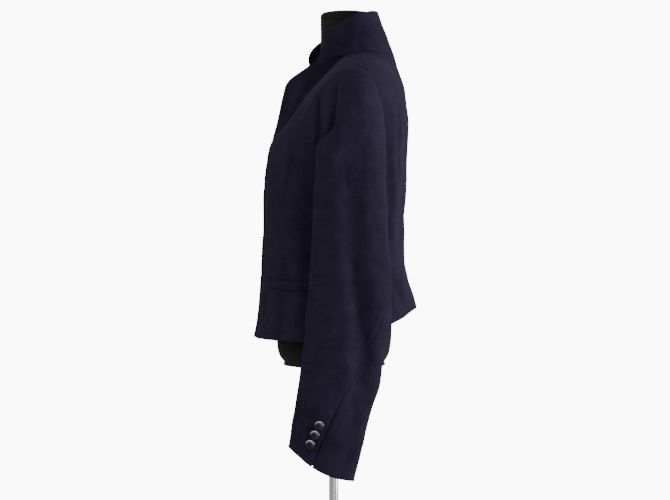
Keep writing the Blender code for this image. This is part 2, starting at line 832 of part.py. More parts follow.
def sleeve_point(piece, column, step):
    """Point on the sleeve: cap steps from the armhole, then the rows below."""
    first = SLEEVE_ROWS[0]
    turn = sleeve_columns(piece, first)[column]
    angle, z = armhole_points(piece)[column]
    if step >= len(CAP_STEPS):
        row = SLEEVE_ROWS[step - len(CAP_STEPS)]
        return sleeve_row_point(sleeve_columns(piece, row)[column], row)
    sine, cosine = math.sin(turn), math.cos(turn)
    edge = body_point(angle, z)
    seat = body_normal(angle, z) * SEAM_GAP
    out = CAP_OUT_INSIDE + (1 - CAP_OUT_INSIDE) * (1 + cosine) / 2
    leave = Vector((CAP_OUT * out, CAP_BACK * max(-sine, 0.0), -CAP_DROP * (1 - cosine) / 2))
    start = edge + seat + leave.normalized() * SEAM_GAP
    end = sleeve_row_point(turn, first)
    arrive = Vector((0, 0, -(start - end).length))
    point = eased(start, leave, end, arrive, CAP_STEPS[step])
    late = CAP_STEPS[step] ** (1 + CAP_LAG * max(sine, 0.0) ** 2)
    point.y = eased(start, leave, end, arrive, late).y
    return point


def eased(start, leave, end, arrive, t):
    """Place on a curve between two points that leaves and arrives in given directions."""
    return (start * (2 * t ** 3 - 3 * t ** 2 + 1) + leave * (t ** 3 - 2 * t ** 2 + t)
            + end * (3 * t ** 2 - 2 * t ** 3) + arrive * (t ** 3 - t ** 2))


def sleeve_rows(piece):
    """Outer points and normals of one sleeve piece for the wearer's left side, cuff first."""
    other = "under" if piece == "upper" else "upper"
    columns = len(armhole_points(piece))
    steps = len(CAP_STEPS) + len(SLEEVE_ROWS)
    grid = [[sleeve_point(piece, c, s) for c in range(columns)] for s in range(steps)]
    before = [sleeve_point(other, len(armhole_points(other)) - 2, s) for s in range(steps)]
    after = [sleeve_point(other, 1, s) for s in range(steps)]
    normals = []
    for s in range(steps):
        line = []
        wide = [before[s]] + grid[s] + [after[s]]
        for c in range(columns):
            if s < len(CAP_STEPS):
                across = wide[c + 2] - wide[c]
                down = grid[s + 1][c] - grid[max(s - 1, 0)][c]
            else:
                row = SLEEVE_ROWS[s - len(CAP_STEPS)]
                turn = sleeve_columns(piece, row)[c]
                z = grid[s][c].z
                across = sleeve_ring(turn + TURN_STEP, z) - sleeve_ring(turn - TURN_STEP, z)
                down = sleeve_ring(turn, z - 1) - sleeve_ring(turn, z + 1)
            line.append(across.cross(down).normalized())
        normals.append(line)
    return grid[::-1], normals[::-1]


def make_sleeves(cloth):
    for side in ("left", "right"):
        for piece in ("upper", "under"):
            outer, normals = sleeve_rows(piece)
            inner = offset(outer, normals, -WALL)
            for grid in (outer, inner):
                pull_edges(grid, amount=SLEEVE_PULL)
                open_vent(grid, piece)
            if side == "right":
                outer, inner = mirrored(outer), mirrored(inner)
            add_wall(piece + "_sleeve_" + side, outer, inner, cloth, flip=side == "left")


def open_vent(grid, piece):
    """Widens the gap between the sleeve pieces from the vent's top down to the cuff."""
    vent_rows = len(SLEEVE_ROWS) - VENT_ROW
    for index in range(vent_rows):
        wide = VENT_OPEN / 2 * (1 - index / vent_rows)
        row = grid[index]
        if piece == "upper":
            row[0] += (row[1] - row[0]).normalized() * wide
        else:
            row[-1] += (row[-2] - row[-1]).normalized() * wide


def sleeve_outer_place(y, z):
    """Point and normal on the outside of the sleeve at a given Y and height."""
    front = -read(SLEEVE, "front", "z", z)
    back = read(SLEEVE, "back", "z", z)
    turn = math.asin(((front + back) / 2 - y) / ((back - front) / 2))
    across = sleeve_ring(turn + TURN_STEP, z) - sleeve_ring(turn - TURN_STEP, z)
    up = sleeve_ring(turn, z + 2) - sleeve_ring(turn, z - 2)
    normal = up.cross(across).normalized()
    return sleeve_ring(turn, z), normal


def make_buttons(metal):
    for index in range(BUTTON_COUNT):
        y = BUTTON_FIRST_Y + BUTTON_STEP_Y * index
        z = BUTTON_FIRST_Z + BUTTON_STEP_Z * index
        place, normal = sleeve_outer_place(y, z)
        if normal.x < 0:
            normal.negate()
        for side, sign in (("left", 1), ("right", -1)):
            bm = bmesh.new()
            profile = [bm.verts.new((ring.radius * MM, 0, ring.height * MM)) for ring in BUTTON_PROFILE]
            edges = [bm.edges.new(pair) for pair in zip(profile, profile[1:])]
            bmesh.ops.spin(bm, geom=profile + edges, cent=(0, 0, 0), axis=(0, 0, 1), angle=math.tau,
                           steps=BUTTON_SIDES, use_merge=True)
            bmesh.ops.remove_doubles(bm, verts=bm.verts, dist=0.00001)
            bmesh.ops.recalc_face_normals(bm, faces=bm.faces)
            outward = Vector((normal.x * sign, normal.y, normal.z))
            seat = Vector((place.x * sign, place.y, place.z)) + outward * BUTTON_SEAT
            button = add_object("cuff_button_%s_%d" % (side, index + 1), bm, metal)
            button.location = seat * MM
            button.rotation_mode = "QUATERNION"
            button.rotation_quaternion = Vector((0, 0, 1)).rotation_difference(outward)


def form_ring(row):
    """A ring of the form below its shoulders."""
    ring = []
    for side in range(FORM_SIDES):
        angle = math.tau * side / FORM_SIDES
        depth = row.centre + row.front if math.sin(angle) < 0 else row.back - row.centre
        point = Vector((row.width * math.cos(angle), row.centre + depth * math.sin(angle), row.z))
        ring.append(with_neck(point, angle))
    return ring


def form_rings():
    rings = []
    for row in FORM:
        rings.append(form_ring(row))
    for z in FORM_SHOULDER_ROWS:
        rings.append([shoulder_point(math.tau * side / FORM_SIDES, z) for side in range(FORM_SIDES)])
    for row in NECK_RINGS:
        rings.append([neck_point(math.tau * side / FORM_SIDES, row) for side in range(FORM_SIDES)])
    return rings


def shoulder_point(angle, z):
    """The form's shoulders: a set depth under the jacket's along the ridge, and more before and behind."""
    sign = 1 if math.cos(angle) > -1e-9 else -1
    half = math.atan2(math.sin(angle), abs(math.cos(angle)))
    extra = FORM_INSET_FRONT * math.sin(-half) ** 1.5 if half < 0 else FORM_INSET_BACK * math.sin(half)
    inset = WALL + FORM_SEAT + extra
    point = body_point(half, z, plain=True) - body_normal(half, z, plain=True) * inset
    point.x *= sign
    return with_neck(point, angle)


def neck_point(angle, row):
    depth = NECK_CENTRE + row.front if math.sin(angle) < 0 else row.back - NECK_CENTRE
    tilt = math.sin(angle) if math.sin(angle) > 0 else -abs(math.sin(2 * angle)) ** 3
    y = NECK_CENTRE + depth * math.sin(angle)
    return Vector((row.width * math.cos(angle), y, row.z + row.rise * tilt))


def with_neck(point, angle):
    """Leads a point of the torso that lies within the neck's oval out to that oval."""
    inside = math.hypot(point.x / NECK_WIDTH, (point.y - NECK_CENTRE) / NECK_DEPTH)
    share = smooth(NECK_START_Z, SHOULDER_Z, point.z) * (1 - smooth(NECK_NEAR, NECK_FAR, inside))
    neck = Vector((NECK_WIDTH * math.cos(angle), NECK_CENTRE + NECK_DEPTH * math.sin(angle), point.z))
    return point.lerp(neck, share)


def make_form(fabric, cap_finish):
    bm = bmesh.new()
    rings = [[bm.verts.new(p * MM) for p in ring] for ring in form_rings()]
    for low, high in zip(rings, rings[1:]):
        for side in range(FORM_SIDES):
            after = (side + 1) % FORM_SIDES
            bm.faces.new((low[side], low[after], high[after], high[side]))
    bm.faces.new(rings[0][::-1])
    bm.faces.new(rings[-1])
    bmesh.ops.triangulate(bm, faces=bm.faces)
    add_object("dress_form", bm, fabric)

    bm = bmesh.new()
    levels = [(CAP_BOTTOM_Z, 0.0), (CAP_TOP_Z - CAP_BEVEL, 0.0), (CAP_TOP_Z, CAP_BEVEL)]
    rings = []
    for z, inset in levels:
        ring = []
        for side in range(FORM_SIDES):
            angle = math.tau * side / FORM_SIDES
            top = NECK_RINGS[-1]
            row = NeckRing(z, 0, top.width - inset, top.front - inset, top.back - inset)
            ring.append(bm.verts.new(neck_point(angle, row) * MM))
        rings.append(ring)
    for low, high in zip(rings, rings[1:]):
        for side in range(FORM_SIDES):
            after = (side + 1) % FORM_SIDES
            bm.faces.new((low[side], low[after], high[after], high[side]))
    bm.faces.new(rings[0][::-1])
    bm.faces.new(rings[-1])
    add_object("neck_cap", bm, cap_finish)


def add_disc(name, radius, bottom, top, sides, finish, bevel=0.0):
    """An upright round bar or plate between two heights."""
    bm = bmesh.new()
    bmesh.ops.create_cone(bm, cap_ends=True, cap_tris=False, segments=sides, radius1=radius * MM,
                          radius2=radius * MM, depth=(top - bottom) * MM)
    bmesh.ops.translate(bm, vec=(0, 0, (top + bottom) / 2 * MM), verts=bm.verts)
    if bevel:
        rim = [e for e in bm.edges if all(v.co.z > top * MM - 1e-6 for v in e.verts)]
        bmesh.ops.bevel(bm, geom=rim, offset=bevel * MM, segments=2, affect="EDGES", profile=0.5,
                        material=-1)
    return add_object(name, bm, finish)


def make_stand(chrome, enamel):
    flange_top = FORM[0].z - SEAM_GAP
    flange_bottom = flange_top - FLANGE_THICK
    add_disc("form_flange", FLANGE_RADIUS, flange_bottom, flange_top, POLE_SIDES, enamel)
    add_disc("stand_pole", POLE_RADIUS, BASE_THICK + SEAM_GAP, flange_bottom - SEAM_GAP, POLE_SIDES, chrome)
    add_disc("stand_base", BASE_RADIUS, 0.0, BASE_THICK, BASE_SIDES, enamel, bevel=3.0)


def main():
    for old in list(bpy.data.objects):
        bpy.data.objects.remove(old, do_unlink=True)
    wool = material("navy_wool", (0.016, 0.014, 0.028), 0.85)
    button_metal = material("button_metal", (0.28, 0.28, 0.29), 0.3, 0.9)
    form_cover = material("form_cover", (0.012, 0.012, 0.014), 0.8)
    chrome = material("chrome", (0.62, 0.63, 0.65), 0.15, 1.0)
    enamel = material("black_enamel", (0.02, 0.02, 0.022), 0.4)
    make_fronts(wool)
    make_backs(wool)
    make_peplum(wool)
    make_welts(wool)
    make_collar(wool)
    make_sleeves(wool)
    make_buttons(button_metal)
    make_form(form_cover, enamel)
    make_stand(chrome, enamel)


main()
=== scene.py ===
import math
from collections import namedtuple

import bmesh
import bpy
import numpy as np
from mathutils import Matrix, Vector
from mathutils.kdtree import KDTree


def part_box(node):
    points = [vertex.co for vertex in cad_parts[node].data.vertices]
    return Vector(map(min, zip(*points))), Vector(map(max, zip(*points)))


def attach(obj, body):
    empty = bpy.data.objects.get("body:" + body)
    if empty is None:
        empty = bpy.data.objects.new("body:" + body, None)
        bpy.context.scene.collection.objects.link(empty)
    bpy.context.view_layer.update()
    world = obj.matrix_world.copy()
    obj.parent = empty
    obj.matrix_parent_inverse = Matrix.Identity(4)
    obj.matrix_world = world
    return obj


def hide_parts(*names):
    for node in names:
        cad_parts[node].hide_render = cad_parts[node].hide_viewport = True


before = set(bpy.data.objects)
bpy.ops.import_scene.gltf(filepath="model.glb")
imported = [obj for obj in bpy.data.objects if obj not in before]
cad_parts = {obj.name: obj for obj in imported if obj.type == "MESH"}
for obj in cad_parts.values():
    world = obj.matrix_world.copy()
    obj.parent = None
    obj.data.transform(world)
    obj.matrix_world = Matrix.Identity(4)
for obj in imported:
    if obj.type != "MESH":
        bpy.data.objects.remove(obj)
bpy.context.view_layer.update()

MM = 0.001
scene = bpy.context.scene

# Camera: level, square to the wearer's left side, in metres, with its sensor in mm
CAMERA_DISTANCE = 3.0
CAMERA_Y = 0.00217
CAMERA_Z = 1.05
FRAME_WIDTH = 1.119
SENSOR = 36.0

# Cloth shells: how finely they are divided, and angles in degrees
CLOTH_LEVELS = 2
FINE_LEVELS = 3
FIT_LEVELS = 1
FIT_ROUNDS = 2
EDGE_CREASE = 1.0
SHARP_ANGLE = 50.0
TURNED_SHARP_ANGLE = 40.0
QUAD_FACE_ANGLE = 30.0
QUAD_SHAPE_ANGLE = 60.0
QUAD_SIDES = 4
MERGE = 0.00002
TURNED_MERGE = 0.000005
CLOTH_NAMES = ("front_", "back_", "peplum_", "collar", "upper_sleeve_", "under_sleeve_")

# How far the cut edges of a wall move out at its seams, in metres
SEAM_PUSH = 0.00013
SLEEVE_SEAM_PUSH = 0.00024
COLLAR_SEAM_PUSH = 0.00032
CORNER_PUSH = 0.0012
CORNER_REACH = 0.006

# Least squared length of the mean of a corner's directions, so that no corner moves too far
LEAST_SQUARE = 0.5

# Shape of the body in mm, and how creases and the cloth's unevenness run
BODY_AXIS_Y = 12.0
BODY_HALF_WIDTH = 150.0
BODY_HALF_DEPTH = 115.0
SLEEVE_DEPTH_SHARE = 0.4
TINY = 1e-9
FAR = 1e9
END_DEPTH = 0.35
END_POWER = 0.7
WAVE_STEP = 1.7
WOBBLE = 0.8
WOBBLE_PACE = 0.37
BODY_SEED = 0.0
LEFT_SLEEVE_SEED = 1.3
RIGHT_SLEEVE_SEED = 4.1

# Ranges over which creases and the painted shade and highlight set in: mm off the armhole seam, then
# how far the cloth faces a way
ARMHOLE_RANGE = (3.0, 12.0)
SIDE_RANGE = (0.12, 0.5)
BACK_RANGE = (0.1, 0.6)
SLEEVE_RANGE = (0.0, 0.6)
PAINTED_LIGHT_RANGE = (0.05, 0.35)

# The wearer's right: its creases lie lower or higher by this many mm, and are shallower
RIGHT_BODY_SHIFT = 5.0
RIGHT_BODY_SHARE = 0.85
RIGHT_SLEEVE_SHIFT = -6.0
RIGHT_SLEEVE_SHARE = 0.9

# Painted shade and highlight: how much a trough of 1 mm darkens the wool's colour (a ridge lightens
# it), and how far that goes
PAINTED_CREASE_TONE = 0.085
PAINTED_DARKEST = -0.36
PAINTED_LIGHTEST = 0.5

# Soft troughs (+) and ridges (-), in mm: points across and up, half width and depth
Crease = namedtuple("Crease", "points spread depth")

SLEEVE_OUTER = [
    Crease([(20.4, 1180), (19.5, 1160), (20.4, 1142)], 4.0, 1.6),
    Crease([(43, 1225), (46, 1167), (43, 1099)], 9.0, 1.5),
    Crease([(62, 1225), (67, 1190), (69, 1160)], 6.0, -1.6),
    Crease([(2, 1250), (1, 1228), (4, 1208)], 4.0, 1.8),
    Crease([(-6, 1232), (-4, 1208)], 3.5, 1.2),
    Crease([(21, 1132), (31, 1131)], 2.6, 1.0),
    Crease([(14, 1001), (28, 1000), (40, 998)], 3.0, 1.4),
    Crease([(-27, 1000), (-16, 996), (-5, 990)], 3.5, 1.0),
    Crease([(-21, 946), (0, 936), (12, 938), (26, 943)], 4.5, 1.3),
    Crease([(-8, 925), (8, 929), (20, 932)], 5.0, -1.1),
    Crease([(-2, 921), (14, 911), (30, 902)], 3.6, -1.4),
    Crease([(-34, 895), (-6, 898), (12, 897), (30, 894)], 3.2, 1.3),
    Crease([(-37, 887), (-19, 889)], 3.0, 1.2),
    Crease([(-40, 870), (-15, 874), (8, 871)], 3.4, 1.6),
    Crease([(-42, 858), (-22, 860)], 4.0, -0.9),
    Crease([(36, 1056), (33, 1012), (42, 952), (52, 910), (54, 872), (40, 846)], 8.0, 2.8),
    Crease([(85, 977), (62, 925), (38, 872), (17, 822)], 2.6, -1.3),
    Crease([(16, 827), (-8, 775), (-31, 724)], 2.2, 1.5),
    Crease([(-44, 812), (-38, 770), (-34, 738)], 17.0, 2.6),
    Crease([(26, 1032), (39, 1028)], 3.2, 1.0),
    Crease([(64, 965), (86, 961)], 3.0, 1.3),
    Crease([(66, 948), (84, 943)], 4.0, -0.9),
    Crease([(33, 820), (34, 790), (32, 766)], 7.0, 1.4),
    Crease([(26, 746), (25, 722)], 7.0, 1.2),
    Crease([(-6, 835), (-9, 800)], 6.0, -0.9),
    Crease([(60, 1100), (70, 1070), (72, 1040)], 7.0, 0.9),
    Crease([(-10, 1120), (-14, 1070), (-16, 1040)], 7.0, 0.8),
]
SLEEVE_INNER = [
    Crease([(-20, 1000), (8, 991), (40, 996)], 5.0, 1.8),
    Crease([(-24, 968), (4, 960), (36, 969), (70, 962)], 4.5, 2.0),
    Crease([(-10, 938), (22, 929), (60, 936)], 5.0, 1.6),
    Crease([(0, 905), (30, 898)], 4.0, 1.2),
    Crease([(20, 1160), (24, 1110), (30, 1060)], 9.0, 1.4),
    Crease([(58, 1150), (62, 1090)], 8.0, 1.2),
    Crease([(-2, 850), (12, 800), (8, 760)], 9.0, 1.0),
]
BODY_SIDE = [
    Crease([(-68, 1222), (-66.5, 1200), (-71, 1175), (-79, 1138)], 4.5, 2.4),
    Crease([(-76, 1215), (-78, 1185), (-84, 1150)], 5.0, -1.2),
    Crease([(-80, 1036), (-80, 1012), (-80, 1003)], 2.6, 3.0),
    Crease([(-98, 1078), (-90, 1045), (-78, 1012)], 7.0, -1.4),
    Crease([(-66, 1040), (-62, 1008)], 6.0, -1.1),
    Crease([(4, 1340), (-14, 1318), (-26, 1292), (-34, 1262)], 6.0, -2.2),
    Crease([(-12, 1330), (-32, 1302), (-48, 1272)], 6.5, -1.9),
    Crease([(-6, 1318), (-24, 1296), (-36, 1270)], 3.5, 1.6),
    Crease([(-15, 1302), (-22, 1283), (-30, 1262)], 3.0, 1.2),
    Crease([(-95, 980), (-100, 950), (-103, 912)], 6.5, -2.2),
    Crease([(-84, 980), (-86, 940), (-88, 912)], 7.0, 2.4),
    Crease([(-56, 985), (-62, 945), (-64, 908)], 10.0, -1.4),
    Crease([(85, 1285), (86, 1215), (90, 1130), (94, 1060)], 8.0, 7.0),
    Crease([(98, 1290), (99, 1215), (102, 1140), (104, 1075)], 4.0, -2.4),
    Crease([(-79, 1255), (-56, 1285), (-28, 1316)], 4.5, -2.2),
    Crease([(-52, 1284), (-30, 1310), (-6, 1334), (6, 1345)], 8.0, -2.6),
    Crease([(-24, 1292), (-25, 1255), (-25, 1215)], 4.5, 4.6),
    Crease([(-9, 1288), (-10, 1262), (-11, 1235)], 7.0, -2.4),
    Crease([(-46, 1205), (-47, 1130), (-45, 1060), (-42, 1010)], 15.0, 3.2),
    Crease([(48, 1352), (70, 1346), (92, 1340)], 5.0, -2.6),
    Crease([(103, 1270), (104, 1194), (107, 1100)], 3.5, 1.8),
    Crease([(110, 1276), (111, 1200), (111, 1130)], 4.0, -1.6),
    Crease([(96, 1120), (92, 1080), (88, 1050)], 4.5, 2.0),
    Crease([(100, 1105), (97, 1060)], 4.0, -1.6),
    Crease([(92, 1010), (104, 985), (114, 962)], 12.0, 3.2),
    Crease([(74, 1005), (84, 970), (88, 945)], 9.0, 2.2),
    Crease([(100, 1030), (103, 1014), (104, 1002)], 4.0, -2.0),
    Crease([(-20, 1090), (0, 1074), (24, 1070)], 6.0, 1.6),
    Crease([(-30, 1052), (-4, 1042), (26, 1046)], 6.0, 1.4),
]
BODY_BACK = [
    Crease([(18, 1060), (48, 1050), (88, 1058)], 6.0, 1.8),
    Crease([(8, 1036), (40, 1030), (70, 1034)], 5.0, 1.4),
    Crease([(126, 1215), (104, 1180), (96, 1140)], 9.0, 1.8),
    Crease([(132, 1170), (112, 1140), (104, 1110)], 8.0, -1.4),
    Crease([(50, 1260), (44, 1200), (40, 1150)], 10.0, -1.2),
    Crease([(22, 1015), (26, 985), (30, 962)], 9.0, -1.6),
    Crease([(70, 1012), (80, 975), (84, 950)], 10.0, 1.8),
    Crease([(60, 1350), (80, 1330), (96, 1300)], 9.0, 1.2),
]
BODY_FRONT = [
    Crease([(34, 1030), (44, 1068), (52, 1100)], 8.0, 1.0),
    Crease([(20, 1150), (44, 1158), (64, 1176)], 8.0, 0.9),
    Crease([(24, 990), (28, 950), (32, 910)], 10.0, -1.6),
    Crease([(56, 985), (64, 945), (68, 908)], 10.0, 1.8),
    Crease([(112, 1130), (118, 1100), (120, 1070)], 8.0, 1.4),
    Crease([(96, 1300), (104, 1262), (108, 1230)], 8.0, 1.2),
]

# Painted highlight (+) along folds and painted shade (-), in the colour only, with no change of form
PAINTED_LIGHT_BODY = [
    Crease([(7, 1352), (25, 1362), (56, 1365), (76, 1355), (94, 1337)], 4.0, 0.4),
    Crease([(-95, 1252), (-78, 1294), (-52, 1322)], 13.0, 0.3),
    Crease([(10, 1392), (45, 1400), (80, 1398)], 26.0, -0.32),
    Crease([(-55, 989), (-46, 988)], 4.0, -0.7),
    Crease([(-24, 1296), (-25, 1255), (-25, 1214)], 3.2, -0.55),
    Crease([(-11, 1290), (-12, 1262), (-13, 1230)], 8.0, 0.2),
]
PAINTED_LIGHT_SLEEVE = [
    Crease([(-20, 765), (14, 742), (34, 736)], 22.0, -0.22),
    Crease([(20, 1300), (30, 1240), (24, 1180)], 24.0, 0.16),
]

# Middle of the sleeve at each height: z, y, x
SLEEVE_AXIS = [
    (686, -24, 201), (753, -11, 203), (834, 7.6, 205), (879, 14, 206), (944, 23, 206),
    (1058, 26, 199), (1165, 25.5, 199), (1227, 25.5, 196), (1334, 34, 186),
]

# Armhole seam on the wearer's left: x, y, z in mm
ARMHOLE_SEAM = [
    (186, 34, 1334), (185, 9, 1318), (181, 6, 1298), (176, 5, 1275), (172, 3, 1250), (169, 2, 1226),
    (169, 5, 1205), (169, 12, 1190), (169, 24, 1181), (166, 42, 1176), (160, 58, 1181),
    (152, 69, 1190), (147, 76, 1205), (144, 79, 1226), (144, 79, 1250), (150, 76, 1275),
    (157, 71, 1298), (168, 62, 1318),
]

# Waves of the cloth's soft unevenness: direction and length of each in mm, height in mm
WAVES = [
    ((1.0, 0.3, 0.5), 58, 0.30), ((-0.4, 1.0, 0.6), 47, 0.28), ((0.2, -0.5, 1.0), 71, 0.30),
    ((0.7, 0.7, -0.6), 33, 0.20), ((-0.8, 0.2, 0.9), 29, 0.16), ((0.1, 1.0, -0.3), 24, 0.14),
]

# Outputs and inputs of shader nodes, by their number
AXIS_X = 0
AXIS_Y = 1
AXIS_Z = 2
OBJECT_PLACE = 3
ATTRIBUTE_VALUE = 2
MIX_FIRST = 6
MIX_SECOND = 7
MIX_RESULT = 2

# Wool: its colours and the colour of its painted highlight, its threads on the weave map, and how
# much each pattern and the painted shade and highlight show
WOOL_DARK = (0.0125, 0.0094, 0.0212)
WOOL_LIGHT = (0.0285, 0.0230, 0.0450)
WOOL_PAINTED_HIGHLIGHT = (0.095, 0.085, 0.125)
WOOL_ROUGHNESS = 0.92
THREAD_PITCH = 0.0011
THREADS = math.tau / THREAD_PITCH
WARP_SCALE = (700.0, 38.0, 1.0)
WEFT_SCALE = (38.0, 700.0, 1.0)
WOOL_CLOUD_SCALE = 42.0
CLOUD_DETAIL = 3.0
HALF = 0.5
PLAIN_TONE = 0.45
SLUB_TONE = 1.3
WOOL_CLOUD_TONE = 0.8
WEAVE_TONE = 0.06
PAINTED_HIGHLIGHT_FROM = 0.4
PAINTED_HIGHLIGHT_TONE = 1.3
FUZZ_LEAST = 0.86
FUZZ_CLOUD = 0.12
WEAVE_HEIGHT = 0.35
SLUB_HEIGHT = 0.5
WOOL_BUMP = (0.35, 0.0006)
WOOL_SHEEN = 0.03
WOOL_SHEEN_ROUGHNESS = 0.5
WOOL_SHEEN_TINT = (0.6, 0.5, 0.85, 1.0)
WOOL_SPECULAR = 0.02

# Jersey of the form
JERSEY_DARK = (0.005, 0.0048, 0.0056)
JERSEY_LIGHT = (0.012, 0.0116, 0.0132)
JERSEY_ROUGHNESS = 0.85
JERSEY_CLOUD_SCALE = 30.0
JERSEY_CLOUD_TONE = 0.8
KNIT = 3600.0
KNIT_TONE = 0.1
JERSEY_BUMP = (0.2, 0.0004)
JERSEY_SPECULAR = 0.15

# Enamel of base and flange, and the duller black of the neck cap
ENAMEL_DARK = (0.006, 0.006, 0.007)
ENAMEL_LIGHT = (0.013, 0.013, 0.014)
ENAMEL_ROUGHNESS = 0.32
ENAMEL_SPECULAR = 0.35
CAP_ROUGHNESS = 0.7
CAP_SPECULAR = 0.1
ENAMEL_CLOUD_SCALE = 60.0
ENAMEL_CLOUD_DETAIL = 4.0
ENAMEL_WEAR = 0.2
ENAMEL_GRAIN_SCALE = 900.0
ENAMEL_BUMP = (0.08, 0.0003)

# Chrome of the pole, drawn out in streaks
CHROME_DARK = (0.74, 0.75, 0.77)
CHROME_LIGHT = (0.88, 0.88, 0.90)
CHROME_ROUGHNESS = 0.18
STREAK_SCALE = (900.0, 900.0, 20.0)
CHROME_SMOOTHEST = 0.12
CHROME_STREAK = 0.14

# Metal of the cuff buttons, dark in the middle with a painted highlight on the upper part of the
# edge, in mm
BUTTON_DARK = (0.026, 0.026, 0.029)
BUTTON_PAINTED_HIGHLIGHT = (0.17, 0.17, 0.175)
BUTTON_ROUGHNESS = 0.32
BUTTON_METALLIC = 0.9
BUTTON_GRAIN_SCALE = 1400.0
BUTTON_GRAIN_TONE = 0.35
BUTTON_DULLEST = 0.34
BUTTON_POLISH = 0.16
BUTTON_BUMP = (0.3, 0.0003)
HIGHLIGHT_RADII = (3.4, 6.8)
HIGHLIGHT_RISE = (-1.0, 4.5)
BUTTON_STEPS = 64
BUTTON_NUMBERS = (1, 2, 3)

# A button's dome: radius and height in mm
BUTTON_PROFILE = [(0, 0), (3.0, 0.0), (6.2, 0.3), (7.2, 0.6), (7.7, 1.0), (7.75, 1.35), (7.45, 1.9),
                  (6.8, 2.5), (5.8, 3.05), (4.6, 3.4), (3.2, 3.62), (1.6, 3.74), (0, 3.78)]

# Stand: radii in mm
BASE_RADIUS = 165
POLE_RADIUS = 8
FLANGE_RADIUS = 34
STAND_STEPS = 96
BASE_STEPS = 128


def smoothstep(low, high, value):
    t = np.clip((value - low) / (high - low), 0.0, 1.0)
    return t * t * (3 - 2 * t)


def crease_depth(across, up, creases):
    """How far a family of creases draws the cloth in at each point, which fades at their ends."""
    total = np.zeros(len(across))
    for crease in creases:
        points = [np.array(place, float) for place in crease.points]
        lengths = [0.0]
        for a, b in zip(points, points[1:]):
            lengths.append(lengths[-1] + np.linalg.norm(b - a))
        best = np.full(len(across), FAR)
        along = np.zeros(len(across))
        for index, (a, b) in enumerate(zip(points, points[1:])):
            span = b - a
            size = span @ span
            t = ((across - a[0]) * span[0] + (up - a[1]) * span[1]) / size
            t = np.clip(t, 0.0, 1.0)
            distance = np.hypot(across - a[0] - t * span[0], up - a[1] - t * span[1])
            nearer = distance < best
            best = np.where(nearer, distance, best)
            along = np.where(nearer, (lengths[index] + t * math.sqrt(size)) / lengths[-1], along)
        middle = np.sin(np.pi * np.clip(along, 0.0, 1.0)) ** END_POWER
        fade = END_DEPTH + (1.0 - END_DEPTH) * middle
        total += crease.depth * fade * np.exp(-(best / crease.spread) ** 2)
    return total


def mottle(points, seed):
    """Soft unevenness of hanging cloth, in mm."""
    total = np.zeros(len(points))
    for index, (direction, length, height) in enumerate(WAVES):
        way = np.array(direction) / np.linalg.norm(direction)
        turn = points @ way * (math.tau / length)
        wobble = WOBBLE * np.sin(turn * WOBBLE_PACE + index)
        total += height * np.sin(turn + WAVE_STEP * index + seed + wobble)
    return total


def armhole_fade(points):
    """0 on the armhole seam and 1 a little way off it, so that sleeve and body stay sewn."""
    seam = [np.array(place, float) for place in ARMHOLE_SEAM]
    mirrored = np.abs(points[:, 0])
    places = np.stack([mirrored, points[:, 1], points[:, 2]], axis=1)
    best = np.full(len(points), FAR)
    for a, b in zip(seam, seam[1:] + seam[:1]):
        span = b - a
        t = np.clip(((places - a) @ span) / (span @ span), 0.0, 1.0)
        best = np.minimum(best, np.linalg.norm(places - a - t[:, None] * span, axis=1))
    return smoothstep(*ARMHOLE_RANGE, best)


def body_push(points, seed):
    """For fronts, backs, peplum, collar and welts: the way out, unevenness, creases, and painted
    shade and highlight.
    """
    x, y, z = points.T
    way = np.stack([x / BODY_HALF_WIDTH ** 2, (y - BODY_AXIS_Y) / BODY_HALF_DEPTH ** 2,
                    np.zeros(len(x))], axis=1)
    way /= np.linalg.norm(way, axis=1)[:, None] + TINY
    left = x > 0
    shift = np.where(left, 0.0, RIGHT_BODY_SHIFT)
    side = smoothstep(*SIDE_RANGE, np.abs(way[:, 0]))
    rear = smoothstep(*BACK_RANGE, way[:, 1])
    front = smoothstep(*BACK_RANGE, -way[:, 1])
    across = np.abs(x)
    pull = crease_depth(y, z + shift, BODY_SIDE) * side * np.where(left, 1.0, RIGHT_BODY_SHARE)
    pull += crease_depth(across, z + shift, BODY_BACK) * rear
    pull += crease_depth(across, z + shift, BODY_FRONT) * front
    # Painted shade and highlight along the listed lines, in the colour only
    painted_tone = crease_depth(y, z, PAINTED_LIGHT_BODY) * smoothstep(*PAINTED_LIGHT_RANGE, np.abs(way[:, 0]))
    return way, mottle(points, seed), pull, painted_tone


def sleeve_push(points, seed):
    """For sleeves: the way out, unevenness, creases, and painted shade and highlight."""
    x, y, z = points.T
    heights = [row[0] for row in SLEEVE_AXIS]
    middle_y = np.interp(z, heights, [row[1] for row in SLEEVE_AXIS])
    middle_x = np.interp(z, heights, [row[2] for row in SLEEVE_AXIS])
    sign = np.sign(x)
    way = np.stack([(np.abs(x) - middle_x) * sign, (y - middle_y) * SLEEVE_DEPTH_SHARE,
                    np.zeros(len(x))], axis=1)
    way /= np.linalg.norm(way, axis=1)[:, None] + TINY
    outward = way[:, 0] * sign
    outer = smoothstep(*SLEEVE_RANGE, outward)
    inner = smoothstep(*SLEEVE_RANGE, -outward)
    left = x > 0
    shift = np.where(left, 0.0, RIGHT_SLEEVE_SHIFT)
    pull = crease_depth(y, z + shift, SLEEVE_OUTER) * outer * np.where(left, 1.0, RIGHT_SLEEVE_SHARE)
    pull += crease_depth(y, z - shift, SLEEVE_INNER) * inner
    # Last: painted shade round the cuff buttons and a painted highlight on the upper sleeve
    return way, mottle(points, seed), pull, crease_depth(y, z, PAINTED_LIGHT_SLEEVE) * outer


def link(name, mesh):
    """A new object in the scene."""
    piece = bpy.data.objects.new(name, mesh)
    scene.collection.objects.link(piece)
    return piece


def sharp_edge(edge):
    return len(edge.link_faces) == 2 and edge.calc_face_angle() > math.radians(SHARP_ANGLE)


